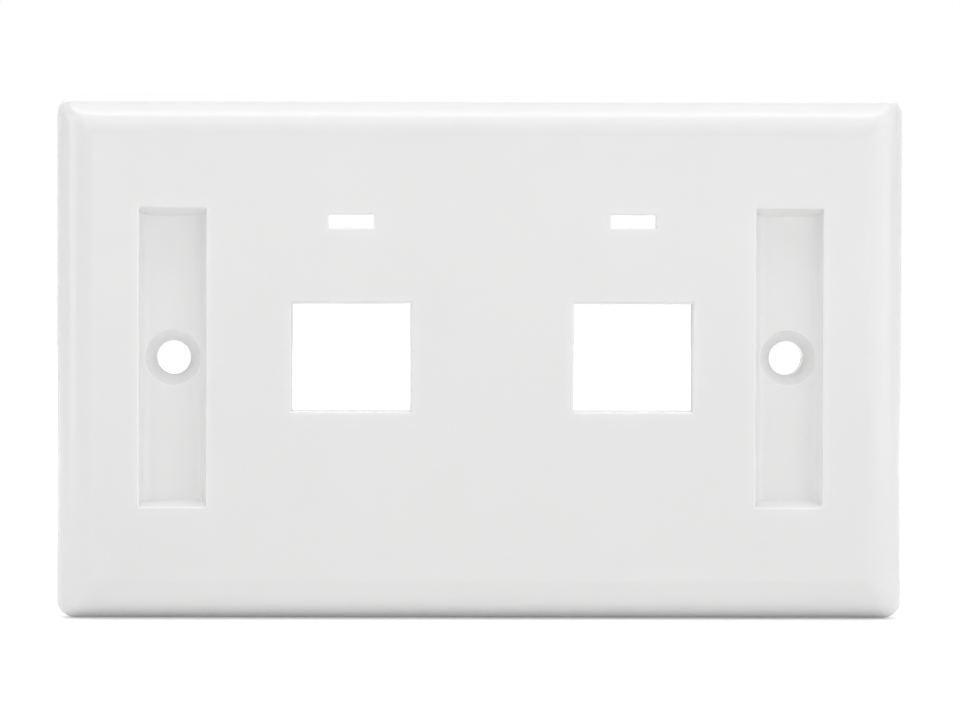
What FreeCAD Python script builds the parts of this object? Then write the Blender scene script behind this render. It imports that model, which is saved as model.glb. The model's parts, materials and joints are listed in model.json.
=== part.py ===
import FreeCAD, Part
import math
import os

# Two-port keystone wall plate, moulded in one piece.  Millimetres.
# X runs along the long side, Z up the short side, and the wall is the plane y = 0:
# the plate stands in front of it (y < 0) and its jack frames reach behind it (y > 0).
# The origin is the middle of the rear rim.

Vector = FreeCAD.Vector

# ---- Shell -----------------------------------------------------------------
plate_width = 115.3
plate_height = 71.1
face_height = 6.8           # flat front face above the wall plane
side_height = 0.6           # straight part of the side, before the edge rolls over
roll_width = 5.45           # rolled edge in plan, from the side to the flat face
crease_radius = 2.5         # softens the shallow crease between the roll and the face
corner_radius = 2.4
wall = 2.2                  # shell thickness, face and rolled edge alike
cavity_corner_radius = 1.2

# ---- Keystone ports --------------------------------------------------------
port_pitch = 38.1
port_offset = 1.5           # the pair sits off centre, because a jack frame is lopsided
port_width = 16.1           # along X, from the hook side to the latch side
port_height = 14.6
port_edge_radius = 0.38
frame_depth = 9.8           # from the front face to the back of a jack frame
frame_wall = 1.8
frame_corner_radius = 0.6
hook_pocket_start = 6.5     # depths below the front face
latch_pocket_start = 3.0
pocket_end = 8.0
hook_pocket_reach = 2.0     # how far a pocket runs out past the port
latch_pocket_reach = 4.0
latch_catch_overhang = 2.0
latch_lead_in = 0.9

# ---- Icon slots ------------------------------------------------------------
slot_width = 6.2
slot_height = 1.8
slot_rise = 18.4            # slot centre above port centre
slot_edge_radius = 0.25

# ---- Label recesses --------------------------------------------------------
recess_width = 9.1
recess_length = 40.5
recess_depth = 2.3
recess_side_draft = 0.15    # each wall leans in by this much at the floor
recess_end_slope = 0.95
recess_floor_radius = 1.7   # along the long walls
recess_end_radius = 0.25    # round the foot and corners of an end wall
recess_edge_radius = 0.3
tub_wall = 1.6              # wall and floor of the tub behind a recess
tub_floor = 1.5
tub_corner_radius = 0.8

# ---- Fixing screws ---------------------------------------------------------
screw_spacing = 83.34       # box screws of a single-gang plate
screw_bore = 4.6
countersink_diameter = 7.35
countersink_angle = 82.0
countersink_lip = 0.25      # straight wall above the cone
countersink_edge_radius = 0.15
boss_wall = 1.9             # around the bore; the bosses end at the wall plane

# ---- Ribs ------------------------------------------------------------------
rib_thickness = 1.3         # ribs stand as high as the backs of the tubs

# ---- Working values --------------------------------------------------------
overrun = 1.0               # a cutter runs this far past the surface that it opens
tolerance = 0.001           # for finding edges by their place


def box(low, high):
    return Part.makeBox(high.x - low.x, high.y - low.y, high.z - low.z, low)


def upright_edges(body):
    """The edges of a box that run straight in from the front."""
    return [edge for edge in body.Edges if edge.BoundBox.YLength > tolerance]


def roll_radius():
    """Radius of the edge: tangent to the side, and a few degrees off the face where it meets it."""
    rise = face_height - side_height
    return (rise ** 2 + roll_width ** 2) / (2 * roll_width)


def rolled_section(half, inset):
    """Half-outline points of the shell's section across one direction, inset by a thickness."""
    radius = roll_radius() - inset
    centre = half - roll_radius()
    rise = face_height - inset - side_height
    tilt = math.acos(rise / radius)
    middle = (math.pi / 2 + tilt) / 2
    side = (half - inset, -side_height)
    on_arc = (centre + radius * math.sin(middle), -side_height - radius * math.cos(middle))
    face = (centre + radius * math.sin(tilt), -side_height - rise)
    return side, on_arc, face


def rolled_prism(half, inset, length, place, direction):
    """The rolled section extruded along the other direction."""
    side, on_arc, face = rolled_section(half, inset)
    foot = (side[0], 0.0)
    right = [place(u, y) for u, y in (foot, side, on_arc, face)]
    left = [place(-u, y) for u, y in (foot, side, on_arc, face)]
    edges = [
        Part.makeLine(left[0], right[0]),
        Part.makeLine(right[0], right[1]),
        Part.Arc(right[1], right[2], right[3]).toShape(),
        Part.makeLine(right[3], left[3]),
        Part.Arc(left[3], left[2], left[1]).toShape(),
        Part.makeLine(left[1], left[0]),
    ]
    section = Part.Face(Part.Wire(edges))
    return section.extrude(direction * length)


def rolled_block(inset, radius):
    """The plate's outer form, or its cavity: one rolled section crossed with the other."""
    half_width = plate_width / 2
    half_height = plate_height / 2
    across = rolled_prism(
        half_width, inset, plate_height, lambda u, y: Vector(u, y, -half_height), Vector(0, 0, 1)
    )
    upright = rolled_prism(
        half_height, inset, plate_width, lambda u, y: Vector(-half_width, y, u), Vector(1, 0, 0)
    )
    block = across.common(upright)
    return block.makeFillet(radius, upright_edges(block))


def outer_form():
    """The solid outside of the plate, with the crease round its face softened."""
    block = rolled_block(0.0, corner_radius)
    crease = [edge for edge in block.Edges if edge.BoundBox.YMax < -face_height + tolerance]
    return block.makeFillet(crease_radius, crease)


def rectangle(width, height, y):
    """A closed rectangle about the Y axis, at a depth."""
    corners = [(-1, -1), (1, -1), (1, 1), (-1, 1), (-1, -1)]
    return Part.makePolygon([Vector(sx * width / 2, y, sz * height / 2) for sx, sz in corners])


def recess_pocket():
    """A label recess: a trough with a rounded floor, crossed with a taper that slopes its ends."""
    front = -face_height
    floor = front + recess_depth
    mouth = rectangle(recess_width, recess_length, front)
    trough_floor = rectangle(recess_width - 2 * recess_side_draft, recess_length, floor)
    trough = Part.makeLoft([mouth, trough_floor], True, True)
    long_edges = [
        edge for edge in trough.Edges
        if edge.BoundBox.YMin > floor - tolerance and edge.BoundBox.ZLength > recess_length / 2
    ]
    trough = trough.makeFillet(recess_floor_radius, long_edges)
    taper_floor = rectangle(recess_width, recess_length - 2 * recess_end_slope, floor)
    taper = Part.makeLoft([mouth, taper_floor], True, True)
    pocket = trough.common(taper)
    end_edges = [
        edge for edge in pocket.Edges
        if edge.BoundBox.YMax > front + tolerance and edge.BoundBox.ZLength < recess_length / 2
    ]
    return pocket.makeFillet(recess_end_radius, end_edges)


def tub_back():
    return -face_height + recess_depth + tub_floor


def tub():
    """The solid behind a label recess, up to the back of its floor, with the screw's boss."""
    half_x = recess_width / 2 + tub_wall
    half_z = recess_length / 2 + tub_wall
    back = tub_back()
    body = box(Vector(-half_x, -face_height + wall / 2, -half_z), Vector(half_x, back, half_z))
    body = body.makeFillet(tub_corner_radius, upright_edges(body))
    foot = Vector(0, back - tub_floor / 2, 0)
    boss = Part.makeCylinder(screw_bore / 2 + boss_wall, -foot.y, foot, Vector(0, 1, 0))
    return body.fuse(boss)


def cone_top():
    return -face_height + recess_depth + countersink_lip


def screw_hole():
    """A countersink that opens in the recess floor, under a short straight lip, and the bore behind it."""
    inward = Vector(0, 1, 0)
    front = Vector(0, -face_height, 0)
    top = Vector(0, cone_top(), 0)
    half_angle = math.radians(countersink_angle / 2)
    cone_depth = (countersink_diameter - screw_bore) / 2 / math.tan(half_angle)
    bore = Part.makeCylinder(screw_bore / 2, face_height + overrun, front, inward)
    lip = Part.makeCylinder(countersink_diameter / 2, top.y - front.y, front, inward)
    cone = Part.makeCone(countersink_diameter / 2, screw_bore / 2, cone_depth, top, inward)
    return bore.fuse([lip, cone])


def countersink_rims(shape, screw_places):
    """The edges round the countersinks, where they open in the floors of the recesses."""
    found = []
    for edge in shape.Edges:
        ends = [vertex.Point for vertex in edge.Vertexes]
        for place in screw_places:
            reaches = [math.hypot(point.x - place, point.z) for point in ends]
            on_rim = all(abs(reach - countersink_diameter / 2) < tolerance for reach in reaches)
            if on_rim and edge.BoundBox.YMax < cone_top() - tolerance:
                found.append(edge)
    return found


def jack_frame():
    """The walls that hold a keystone jack, before the port and its pockets are cut."""
    hook_side = -port_width / 2 - hook_pocket_reach - frame_wall
    latch_side = port_width / 2 + latch_pocket_reach + frame_wall
    half_z = port_height / 2 + frame_wall
    body = box(
        Vector(hook_side, -face_height + wall / 2, -half_z),
        Vector(latch_side, -face_height + frame_depth, half_z),
    )
    return body.makeFillet(frame_corner_radius, upright_edges(body))


def jack_space():
    """What a keystone jack needs: the port, the hook's pocket and the latch's pocket with its catch."""
    half_x = port_width / 2
    half_z = port_height / 2
    front = -face_height
    back = front + frame_depth
    port = box(Vector(-half_x, front - overrun, -half_z), Vector(half_x, back + overrun, half_z))
    hook = box(
        Vector(-half_x - hook_pocket_reach, front + hook_pocket_start, -half_z),
        Vector(0, front + pocket_end, half_z),
    )
    reach = half_x + latch_pocket_reach
    catch = reach - latch_catch_overhang
    latch_outline = [
        (0, front + latch_pocket_start),
        (reach, front + latch_pocket_start),
        (reach, front + pocket_end),
        (catch, front + pocket_end),
        (catch, back - latch_lead_in),
        (catch + latch_lead_in, back),
        (catch + latch_lead_in, back + overrun),
        (0, back + overrun),
        (0, front + latch_pocket_start),
    ]
    latch = Part.Face(Part.makePolygon([Vector(x, y, -half_z) for x, y in latch_outline]))
    latch = latch.extrude(Vector(0, 0, port_height))
    return port.fuse([hook, latch])


def icon_slot():
    return box(
        Vector(-slot_width / 2, -face_height - overrun, -slot_height / 2),
        Vector(slot_width / 2, -face_height + wall + overrun, slot_height / 2),
    )


def rib(start_x, end_x, start_z, end_z):
    """A low rib on the back of the face."""
    return box(
        Vector(start_x, -face_height + wall / 2, start_z),
        Vector(end_x, tub_back(), end_z),
    )


def ribs(port_places, outer):
    """Ribs that tie the jack frames to the tubs and to the long sides of the shell."""
    half_z = port_height / 2 + frame_wall
    reach_z = plate_height / 2
    tub_x = screw_spacing / 2
    made = []
    for side in (-1, 1):
        rib_z = side * (half_z - rib_thickness / 2)
        made.append(rib(-tub_x, tub_x, rib_z - rib_thickness / 2, rib_z + rib_thickness / 2))
        for place in port_places:
            rib_x = place + side * port_width / 2
            made.append(rib(rib_x - rib_thickness / 2, rib_x + rib_thickness / 2, -reach_z, reach_z))
    return [piece.common(outer) for piece in made]


def moved(shape, x, z=0.0):
    copy = shape.copy()
    copy.translate(Vector(x, 0, z))
    return copy


def front_edges(shape, cutters):
    """The edges that the cutters leave in the front face."""
    found = []
    for edge in shape.Edges:
        if edge.BoundBox.YMax > -face_height + tolerance:
            continue
        middle = Part.Vertex(edge.CenterOfMass)
        if any(cutter.distToShape(middle)[0] < tolerance for cutter in cutters):
            found.append(edge)
    return found


def faceplate():
    port_places = [port_offset - port_pitch / 2, port_offset + port_pitch / 2]
    screw_places = [-screw_spacing / 2, screw_spacing / 2]

    outer = outer_form()
    shell = outer.cut(rolled_block(wall, cavity_corner_radius))
    behind = [moved(tub(), x) for x in screw_places]
    behind += [moved(jack_frame(), x) for x in port_places]
    behind += ribs(port_places, outer)
    plate = shell.fuse(behind)

    ports = [moved(jack_space(), x) for x in port_places]
    slots = [moved(icon_slot(), x, slot_rise) for x in port_places]
    recesses = [moved(recess_pocket(), x) for x in screw_places]
    holes = [moved(screw_hole(), x) for x in screw_places]
    plate = plate.cut(ports + slots + recesses + holes).removeSplitter()

    plate = plate.makeFillet(countersink_edge_radius, countersink_rims(plate, screw_places))
    for cutters, radius in (
        (ports, port_edge_radius),
        (slots, slot_edge_radius),
        (recesses, recess_edge_radius),
    ):
        plate = plate.makeFillet(radius, front_edges(plate, cutters))
    return plate


os.makedirs("parts", exist_ok=True)
plate = faceplate()
print("valid", plate.isValid(), "solids", len(plate.Solids), "volume", round(plate.Volume))
plate.exportStep("parts/faceplate.step")
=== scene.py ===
import json
import math

import bpy
from mathutils import Matrix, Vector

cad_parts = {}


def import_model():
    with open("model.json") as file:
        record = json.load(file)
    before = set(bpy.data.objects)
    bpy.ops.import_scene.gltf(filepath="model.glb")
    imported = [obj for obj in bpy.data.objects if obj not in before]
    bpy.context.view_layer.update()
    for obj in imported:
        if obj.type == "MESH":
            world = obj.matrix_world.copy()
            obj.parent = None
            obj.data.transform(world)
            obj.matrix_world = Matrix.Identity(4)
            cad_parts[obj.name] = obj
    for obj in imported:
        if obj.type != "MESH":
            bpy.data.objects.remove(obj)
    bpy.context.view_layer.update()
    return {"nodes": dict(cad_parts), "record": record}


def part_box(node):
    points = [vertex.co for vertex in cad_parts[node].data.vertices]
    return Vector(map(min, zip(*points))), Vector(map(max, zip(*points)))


# A white keystone faceplate, stood on its long edge on a pale floor in soft studio light.
# The plate is the CAD part; this script adds its plastic, the floor, the light and the camera.
# Metres: X runs to the right, Y into the wall and Z up, and the plate's face looks towards -Y.

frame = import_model()
plate = frame["nodes"]["faceplate"]
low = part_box("faceplate")[0]
ports = [opening["box_m"] for opening in frame["record"]["physics"]["openings"]
         if opening["name"].startswith("jack_port")]

# ---- Camera ----------------------------------------------------------------
camera_distance = 0.480      # in front of the wall plane
camera_offset = -0.0200      # left of the plate's middle
camera_rise = 0.006          # above the plate's middle
camera_level = 90.0          # degrees; a camera starts out looking straight down
camera_yaw = -0.44           # degrees
camera_pitch = -0.763        # degrees; below 0 looks down
camera_roll = 0.10           # degrees
camera_lens = 131.54         # mm, on the sensor below
camera_sensor = 36.0         # mm
camera_shift = 0.125         # keeps the plate in the middle of the picture

# ---- Plastic ---------------------------------------------------------------
plastic_dark = (0.875, 0.875, 0.872, 1)
plastic_light = (0.885, 0.885, 0.882, 1)
plastic_index = 1.5          # of refraction
plastic_roughness = 0.2
tone_scale = 25.0            # patches per metre, between the dark and the light plastic
tone_detail = 3.0
tone_dark_at = 0.3           # the noise's value where the plastic is darkest
tone_light_at = 0.7          # and where it is lightest
grain_scale = 2600.0         # bumps per metre
grain_detail = 1.0
grain_height = 0.000012
grain_strength = 0.5
glow_share = 0.6             # of the light goes into the plastic and comes out near by
glow_depth = 0.001           # how far it goes on the way
glow_color = (1.0, 1.0, 1.0)     # red, green and blue go equally far
port_side_roughness = 0.9    # the sides of the jack ports are dull
port_side_start = 0.0004     # how far behind the face they begin
port_wall_reach = 0.006      # from a port's side to just past its frame

# ---- Floor and light -------------------------------------------------------
white = (1, 1, 1, 1)
white_strength = 1.0         # what the camera sees as white
soft_world = 0.190           # the room's light on the object, on the same scale
floor_size = 8.0
floor_color = (0.95, 0.95, 0.95, 1)
floor_roughness = 0.9
floor_gloss = 0.0
floor_near = 0.10            # from the plate's foot; the floor turns white from here
floor_far = 0.60             # to here
floor_near_glow = 0.30       # what the camera sees is added to the light on the floor
floor_far_glow = 1.0

# Name, place, width and length, power in watts; every lamp points at the plate.
lamps = (
    ("overhead_behind", (0.0, 0.12, 0.60), (0.9, 0.12), 0.31),
    ("overhead", (0.0, -0.03, 0.60), (0.9, 0.12), 0.41),
    ("overhead_front", (0.0, -0.15, 0.60), (0.9, 0.12), 0.94),
    ("overhead_left", (-0.35, -0.06, 0.60), (0.3, 0.2), 0.26),
    ("close_overhead", (0.0, -0.14, 0.30), (0.5, 0.20), 0.21),
    ("right_softbox", (0.70, -0.45, 0.25), (0.5, 0.6), 1.30),
    ("right_side", (0.80, -0.12, 0.15), (0.3, 0.5), 0.60),
    ("left_softbox", (-0.70, -0.45, 0.25), (0.5, 0.6), 0.51),
    ("left_side", (-0.80, -0.12, 0.15), (0.3, 0.5), 0.80),
    ("low_front", (0.0, -0.60, 0.04), (1.0, 0.1), 0.52),
    ("behind", (0.0, 0.60, 0.50), (0.8, 0.4), 1.7),
    ("small_front", (-0.055, -0.80, 0.171), (0.12, 0.03), 0.04),
)


def principled(name):
    material = bpy.data.materials.new(name)
    material.use_nodes = True
    nodes = material.node_tree.nodes
    return material, nodes, material.node_tree.links, nodes["Principled BSDF"]


def math_node(nodes, links, operation, first, second=None):
    """The result of one sum; each of first and second is a socket or a number."""
    node = nodes.new("ShaderNodeMath")
    node.operation = operation
    for socket, value in zip(node.inputs, (first, second)):
        if isinstance(value, (int, float)):
            socket.default_value = value
        elif value is not None:
            links.new(value, socket)
    return node.outputs["Value"]


def noise(nodes, links, place, scale, detail):
    """Cloudy noise of about 0 to 1, with the given number of patches to the metre."""
    node = nodes.new("ShaderNodeTexNoise")
    node.inputs["Scale"].default_value = scale
    node.inputs["Detail"].default_value = detail
    links.new(place, node.inputs["Vector"])
    return node.outputs["Fac"]


def tone(nodes, links, place):
    """The plastic's colour, which changes very slightly over the plate."""
    ramp = nodes.new("ShaderNodeValToRGB")
    dark, light = ramp.color_ramp.elements
    dark.position, dark.color = tone_dark_at, plastic_dark
    light.position, light.color = tone_light_at, plastic_light
    links.new(noise(nodes, links, place, tone_scale, tone_detail), ramp.inputs["Fac"])
    return ramp.outputs["Color"]


def grain(nodes, links, place):
    """The surface's direction, bent a little by very fine bumps."""
    bump = nodes.new("ShaderNodeBump")
    bump.inputs["Strength"].default_value = grain_strength
    bump.inputs["Distance"].default_value = grain_height
    links.new(noise(nodes, links, place, grain_scale, grain_detail), bump.inputs["Height"])
    return bump.outputs["Normal"]


def port_sides(nodes, links, place):
    """1 on the sides of the jack ports, in their pockets and on the back between them, and 0 elsewhere."""
    split = nodes.new("ShaderNodeSeparateXYZ")
    links.new(place, split.inputs["Vector"])
    half_height = max(box[1][2] for box in ports)
    reach = max(abs(corner[0]) for box in ports for corner in box) + port_wall_reach
    across = math_node(nodes, links, "ABSOLUTE", split.outputs["X"])
    along = math_node(nodes, links, "ABSOLUTE", split.outputs["Z"])
    in_reach = math_node(nodes, links, "LESS_THAN", across, reach)
    in_height = math_node(nodes, links, "LESS_THAN", along, half_height)
    behind = math_node(nodes, links, "GREATER_THAN", split.outputs["Y"], low.y + port_side_start)
    both = math_node(nodes, links, "MULTIPLY", in_reach, in_height)
    return math_node(nodes, links, "MULTIPLY", both, behind)


def gloss(nodes, links, place):
    """The roughness: a satin gloss, but dull where port_sides is 1."""
    rough = nodes.new("ShaderNodeMapRange")
    rough.inputs["To Min"].default_value = plastic_roughness
    rough.inputs["To Max"].default_value = port_side_roughness
    links.new(port_sides(nodes, links, place), rough.inputs["Value"])
    return rough.outputs["Result"]


def plastic():
    """White moulded plastic with a satin gloss and a very fine grain."""
    material, nodes, links, shader = principled("white_plastic")
    place = nodes.new("ShaderNodeTexCoord").outputs["Object"]
    links.new(tone(nodes, links, place), shader.inputs["Base Color"])
    links.new(grain(nodes, links, place), shader.inputs["Normal"])
    links.new(gloss(nodes, links, place), shader.inputs["Roughness"])
    shader.inputs["IOR"].default_value = plastic_index
    shader.inputs["Subsurface Weight"].default_value = glow_share
    shader.inputs["Subsurface Radius"].default_value = glow_color
    shader.inputs["Subsurface Scale"].default_value = glow_depth
    return material


def seen_directly(nodes, links):
    """1 for what the camera sees, also in gloss and through glass; 0 for the light on the object."""
    path = nodes.new("ShaderNodeLightPath")
    seen = path.outputs["Is Camera Ray"]
    for ray in ("Is Glossy Ray", "Is Transmission Ray"):
        seen = math_node(nodes, links, "MAXIMUM", seen, path.outputs[ray])
    return seen


def floor_glow(nodes, links):
    """What the camera sees of the floor on top of its own light: more of it further from the plate."""
    distance = nodes.new("ShaderNodeVectorMath")
    distance.operation = "LENGTH"
    links.new(nodes.new("ShaderNodeTexCoord").outputs["Object"], distance.inputs[0])
    reach = nodes.new("ShaderNodeMapRange")
    reach.inputs["From Min"].default_value = floor_near
    reach.inputs["From Max"].default_value = floor_far
    reach.inputs["To Min"].default_value = floor_near_glow
    reach.inputs["To Max"].default_value = floor_far_glow
    links.new(distance.outputs["Value"], reach.inputs["Value"])
    glow = nodes.new("ShaderNodeEmission")
    links.new(reach.outputs["Result"], glow.inputs["Strength"])
    return glow.outputs["Emission"]


def floor():
    """A pale floor that the plate stands on, white to the camera but for the shadow."""
    material, nodes, links, shader = principled("pale_floor")
    shader.inputs["Base Color"].default_value = floor_color
    shader.inputs["Roughness"].default_value = floor_roughness
    shader.inputs["Specular IOR Level"].default_value = floor_gloss
    both = nodes.new("ShaderNodeAddShader")
    links.new(shader.outputs["BSDF"], both.inputs[0])
    links.new(floor_glow(nodes, links), both.inputs[1])
    mix = nodes.new("ShaderNodeMixShader")
    links.new(seen_directly(nodes, links), mix.inputs["Fac"])
    links.new(shader.outputs["BSDF"], mix.inputs[1])
    links.new(both.outputs["Shader"], mix.inputs[2])
    links.new(mix.outputs["Shader"], nodes["Material Output"].inputs["Surface"])
    bpy.ops.mesh.primitive_plane_add(size=floor_size, location=(0, 0, low.z))
    sheet = bpy.context.object
    sheet.name = "floor"
    sheet.data.materials.append(material)


def world():
    """White behind the object and in its gloss, softer as the light that falls on it."""
    made = bpy.data.worlds.new("studio")
    bpy.context.scene.world = made
    made.use_nodes = True
    nodes = made.node_tree.nodes
    links = made.node_tree.links
    lighting = nodes["Background"]
    seen = nodes.new("ShaderNodeBackground")
    for background, strength in ((lighting, soft_world), (seen, white_strength)):
        background.inputs["Color"].default_value = white
        background.inputs["Strength"].default_value = strength
    mix = nodes.new("ShaderNodeMixShader")
    links.new(seen_directly(nodes, links), mix.inputs["Fac"])
    links.new(lighting.outputs["Background"], mix.inputs[1])
    links.new(seen.outputs["Background"], mix.inputs[2])
    links.new(mix.outputs["Shader"], nodes["World Output"].inputs["Surface"])


def area_lamp(name, place, size, power):
    data = bpy.data.lights.new(name, "AREA")
    data.shape = "RECTANGLE"
    data.size, data.size_y = size
    data.energy = power
    lamp = bpy.data.objects.new(name, data)
    bpy.context.scene.collection.objects.link(lamp)
    lamp.location = place
    lamp.rotation_euler = (-lamp.location).to_track_quat("-Z", "Y").to_euler()


def camera():
    data = bpy.data.cameras.new("camera")
    data.lens = camera_lens
    data.sensor_width = camera_sensor
    data.shift_x = camera_shift
    made = bpy.data.objects.new("camera", data)
    bpy.context.scene.collection.objects.link(made)
    place = Matrix.Translation((camera_offset, -camera_distance, camera_rise))
    yaw = Matrix.Rotation(math.radians(camera_yaw), 4, "Z")
    upright = Matrix.Rotation(math.radians(camera_level + camera_pitch), 4, "X")
    roll = Matrix.Rotation(math.radians(camera_roll), 4, "Z")
    made.matrix_world = place @ yaw @ upright @ roll
    bpy.context.scene.camera = made


plate.data.materials.clear()
plate.data.materials.append(plastic())
floor()
world()
for lamp in lamps:
    area_lamp(*lamp)
camera()
bpy.context.scene.view_settings.view_transform = "Standard"
